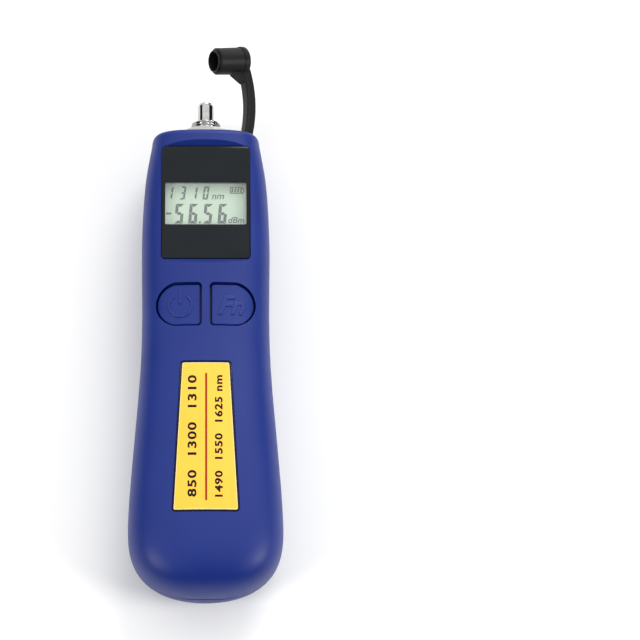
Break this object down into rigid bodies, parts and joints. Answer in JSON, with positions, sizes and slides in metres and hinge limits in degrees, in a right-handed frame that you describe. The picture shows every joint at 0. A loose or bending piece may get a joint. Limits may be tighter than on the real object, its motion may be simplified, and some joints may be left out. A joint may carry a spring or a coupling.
{
  "type": "optical power meter",
  "caption": "Handheld optical power meter: waisted two-part case with display window, D-shaped keys, threaded port with nut, rubber dust cap on a strap, and a rear battery door",
  "frame": {"origin": "centre of the object's footprint, on the surface its back rests on", "axes": "+X to the user's right, +Y along the meter towards the port, +Z out of the front"},
  "size_m": [0.0404, 0.1552, 0.027],
  "materials": {
    "case_blue": "semi-gloss moulded",
    "key_blue": "semi-gloss moulded",
    "window_black": "polished, black printed",
    "lcd_grey": "matte reflective",
    "white_plastic": "moulded",
    "black_plastic": "moulded",
    "front_label": "printed film",
    "rear_label": "printed film",
    "screw_steel": "zinc plated",
    "port_metal": "polished plate",
    "board_green": "solder mask",
    "contact_metal": "nickel plated",
    "cell_sleeve": "printed sleeve",
    "cap_rubber": "moulded matte"
  },
  "bodies": {
    "case": {"front_shell": "case_blue", "rear_shell": "case_blue", "display_window": "window_black", "lcd_glass": "lcd_grey", "lcd_holder": "white_plastic", "backlight_panel": "white_plastic", "power_switch": "black_plastic", "function_switch": "black_plastic", "front_label": "front_label", "rear_label": "rear_label", "case_screws": "screw_steel", "tray_screws": "screw_steel", "board_screws": "screw_steel", "circuit_board": "board_green", "processor_chip": "black_plastic", "port_barrel": "port_metal", "port_nut": "port_metal", "detector": "contact_metal", "left_cell": "cell_sleeve", "right_cell": "cell_sleeve", "link_contact": "contact_metal", "plus_contact": "contact_metal", "minus_contact": "contact_metal"},
    "power_key": {"power_key": "key_blue"},
    "function_key": {"function_key": "key_blue"},
    "door": {"battery_door": "case_blue"},
    "cap": {"dust_cap": "cap_rubber"}
  },
  "joints": [
    {"name": "power_press", "type": "slide", "parent": "case", "child": "power_key", "axis": [0, 0, -1], "range_m": [0, 0.0005], "stiffness_N_per_m": 600},
    {"name": "function_press", "type": "slide", "parent": "case", "child": "function_key", "axis": [0, 0, -1], "range_m": [0, 0.0005], "stiffness_N_per_m": 600},
    {"name": "door_swing", "type": "hinge", "parent": "case", "child": "door", "pos_m": [0, -0.07677, 0.0133], "axis": [-1, 0, 0], "range_deg": [0, 45]},
    {"name": "cap_swing", "type": "hinge", "parent": "case", "child": "cap", "pos_m": [0.011, 0.04777, 0.014], "axis": [0.454, 0, 0.891], "range_deg": [-12, 12], "stiffness_Nm_per_rad": 0.02}
  ]
}
